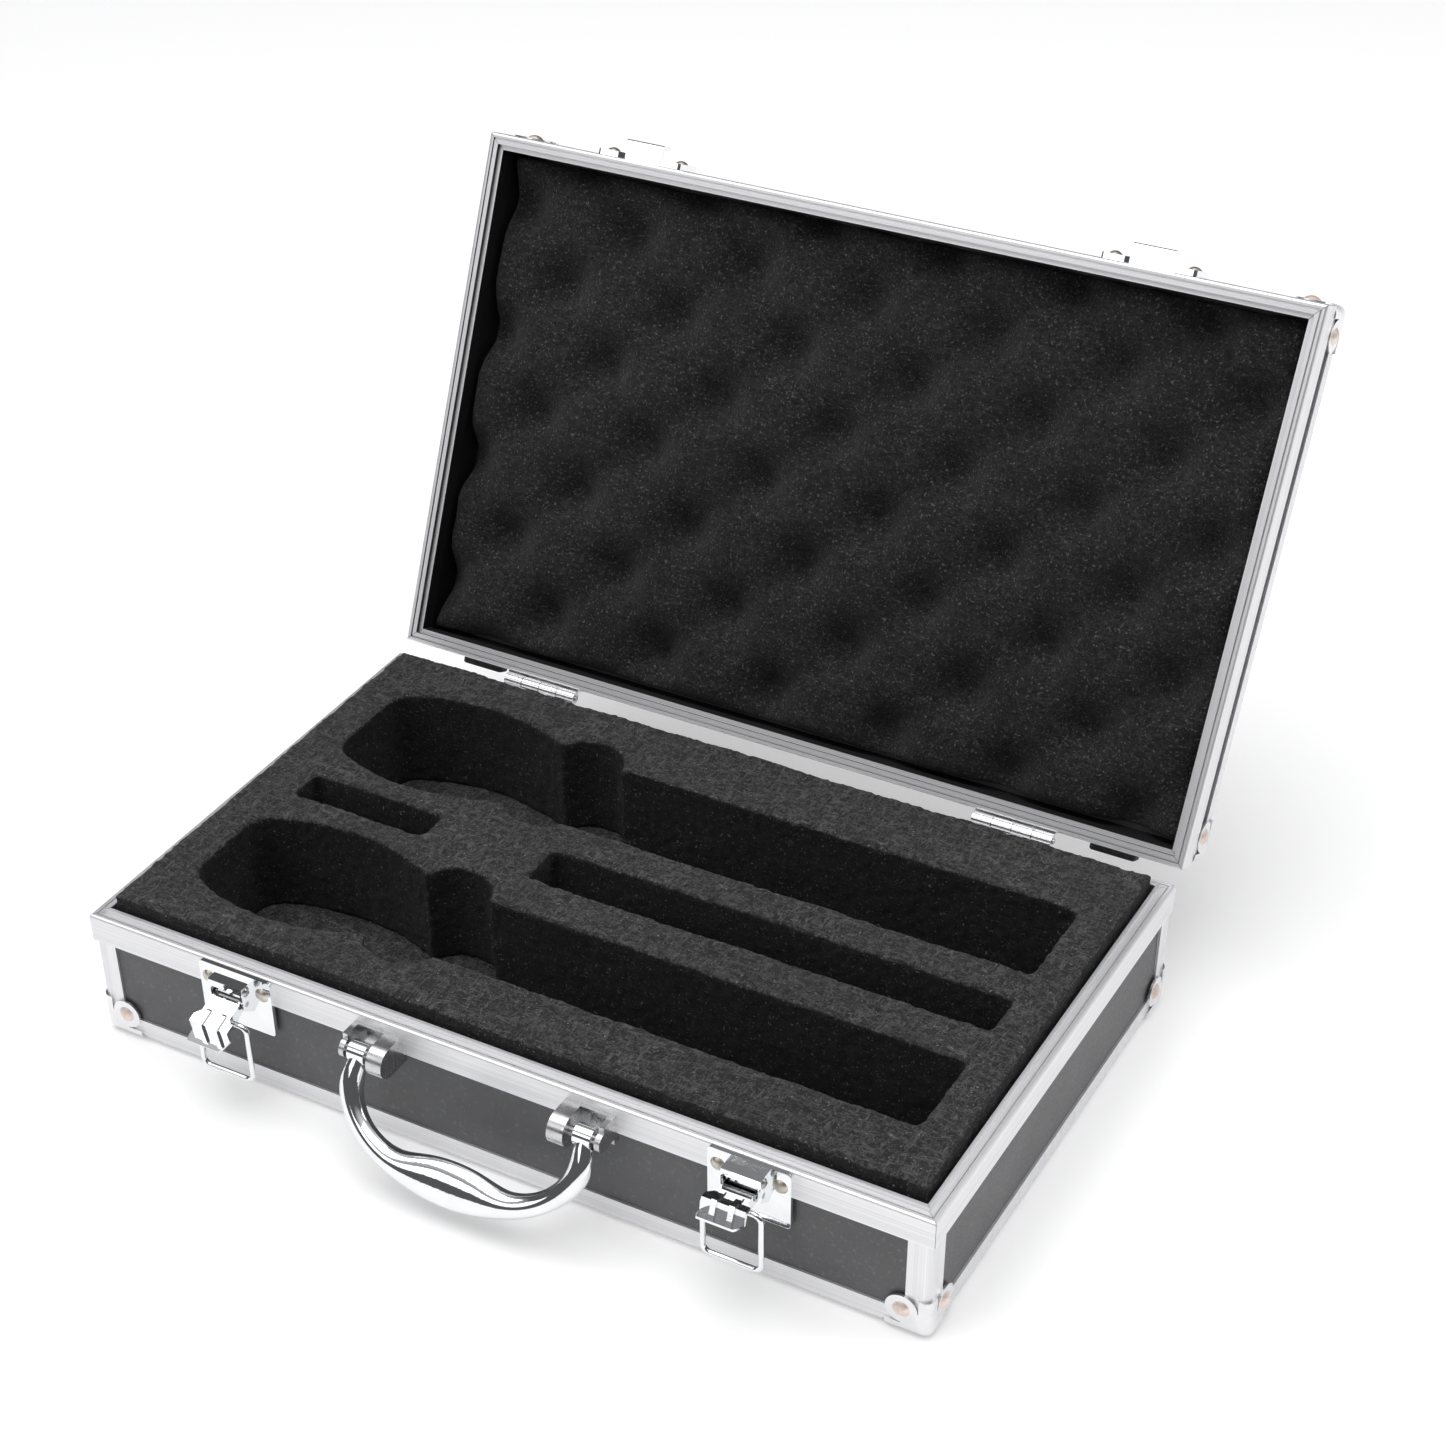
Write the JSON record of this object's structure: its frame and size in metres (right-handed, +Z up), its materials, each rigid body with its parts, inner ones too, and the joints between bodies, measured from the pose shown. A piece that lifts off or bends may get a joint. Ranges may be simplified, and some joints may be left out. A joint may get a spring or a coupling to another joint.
{
  "type": "microphone carrying case",
  "caption": "Aluminium-framed hard carrying case, open, with a hinged lid, drop handle, two draw latches and die-cut foam for a pair of handheld microphones.",
  "frame": {"origin": "under the middle of the open case's outline, on the surface it stands on; the middle of the base is 36.3 mm in front of it", "axes": "+Z up, -Y towards the front wall with the handle and latches, +X to the right; the lid stands open at the back"},
  "size_m": [0.3032, 0.3079, 0.218],
  "materials": {
    "aluminium": "satin anodised extrusion",
    "nickel": "bright nickel plate",
    "rivet": "warm-tinted plated steel",
    "steel": "plain",
    "panel": "fine-grained dark laminate on board",
    "foam": "open-cell charcoal foam",
    "rubber": "matte"
  },
  "bodies": {
    "base": {"base_back_panel": "panel", "base_corner_angles": "aluminium", "base_corner_back_left": "nickel", "base_corner_back_right": "nickel", "base_corner_front_left": "nickel", "base_corner_front_right": "nickel", "base_corner_rivets": "rivet", "base_edge_angles": "aluminium", "base_feet": "rubber", "base_floor_panel": "panel", "base_foam_insert": "foam", "base_foam_pad": "foam", "base_front_panel": "panel", "base_left_panel": "panel", "base_right_panel": "panel", "base_rim_back": "aluminium", "base_rim_front": "aluminium", "base_rim_left": "aluminium", "base_rim_right": "aluminium", "handle_bracket_left": "nickel", "handle_bracket_right": "nickel", "handle_pins": "rivet", "hinge_leaf_base_left": "nickel", "hinge_leaf_base_right": "nickel", "hinge_pins": "steel", "hinge_rivets_base": "rivet", "latch_pins": "rivet", "latch_plate_left": "nickel", "latch_plate_right": "nickel", "latch_rivets": "rivet"},
    "lid": {"catch_left": "nickel", "catch_right": "nickel", "catch_rivets": "rivet", "hinge_leaf_lid_left": "nickel", "hinge_leaf_lid_right": "nickel", "hinge_rivets_lid": "rivet", "lid_back_panel": "panel", "lid_corner_angles": "aluminium", "lid_corner_back_left": "nickel", "lid_corner_back_right": "nickel", "lid_corner_front_left": "nickel", "lid_corner_front_right": "nickel", "lid_corner_rivets": "rivet", "lid_edge_angles": "aluminium", "lid_feet": "rubber", "lid_foam_pad": "foam", "lid_front_panel": "panel", "lid_left_panel": "panel", "lid_right_panel": "panel", "lid_rim_back": "aluminium", "lid_rim_front": "aluminium", "lid_rim_left": "aluminium", "lid_rim_right": "aluminium", "lid_top_panel": "panel"},
    "carry_handle": {"handle": "nickel"},
    "lever_left": {"latch_lever_left": "nickel"},
    "lever_right": {"latch_lever_right": "nickel"},
    "bail_left": {"latch_bail_left": "nickel"},
    "bail_right": {"latch_bail_right": "nickel"}
  },
  "joints": [
    {"name": "lid_hinge", "type": "hinge", "parent": "base", "child": "lid", "pos_m": [0, 0.0567, 0.0472], "axis": [-1, 0, 0], "range_deg": [-114.5, 0]},
    {"name": "handle_pivot", "type": "hinge", "parent": "base", "child": "carry_handle", "pos_m": [0, -0.1333, 0.0386], "axis": [-1, 0, 0], "range_deg": [-30, 79]},
    {"name": "lever_left_pivot", "type": "hinge", "parent": "base", "child": "lever_left", "pos_m": [-0.0915, -0.1309, 0.0384], "axis": [-1, 0, 0], "range_deg": [-63, 57]},
    {"name": "lever_right_pivot", "type": "hinge", "parent": "base", "child": "lever_right", "pos_m": [0.0915, -0.1309, 0.0384], "axis": [-1, 0, 0], "range_deg": [-93, 27]},
    {"name": "bail_left_pivot", "type": "hinge", "parent": "lever_left", "child": "bail_left", "pos_m": [-0.0915, -0.13641, 0.0338], "axis": [-1, 0, 0], "range_deg": [-80, 86]},
    {"name": "bail_right_pivot", "type": "hinge", "parent": "lever_right", "child": "bail_right", "pos_m": [0.0915, -0.13797, 0.03717], "axis": [-1, 0, 0], "range_deg": [-50, 116]}
  ],
  "couplings": [
    {"joint": "bail_left_pivot", "follows": "lever_left_pivot", "ratio": -1},
    {"joint": "bail_right_pivot", "follows": "lever_right_pivot", "ratio": -1}
  ]
}
